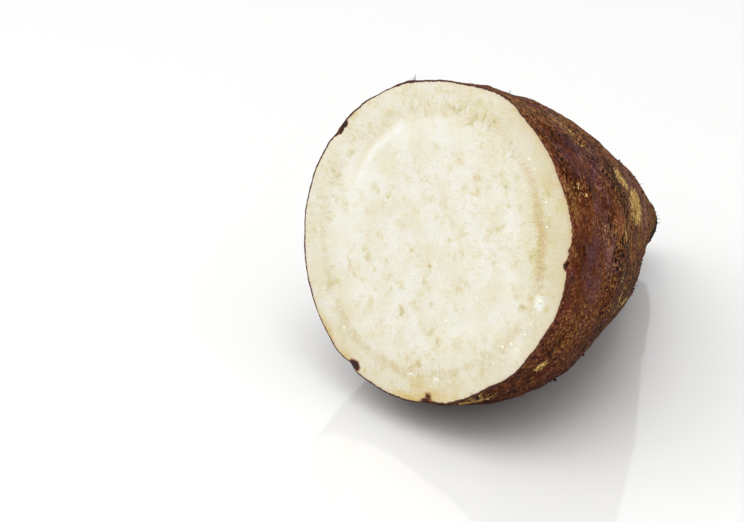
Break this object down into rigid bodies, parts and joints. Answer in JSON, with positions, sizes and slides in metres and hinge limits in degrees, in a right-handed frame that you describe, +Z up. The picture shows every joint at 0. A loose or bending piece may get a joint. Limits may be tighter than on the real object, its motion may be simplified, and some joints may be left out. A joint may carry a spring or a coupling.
{
  "type": "boniato half",
  "caption": "Root end of a boniato (white sweet potato) cut straight across, lying on its belly with the pale cut face leaning back.",
  "frame": {"origin": "on the surface it rests on, under the middle of its bounding box", "axes": "+Z up; the cut face looks along -Y and leans back about 20 degrees; the root neck points along +Y"},
  "size_m": [0.0852, 0.1144, 0.0848],
  "materials": {
    "skin": "dry, fibrous maroon-brown root skin, with moist cream flesh on the cut face"
  },
  "bodies": {
    "root": {"boniato_half": "skin"}
  },
  "joints": []
}
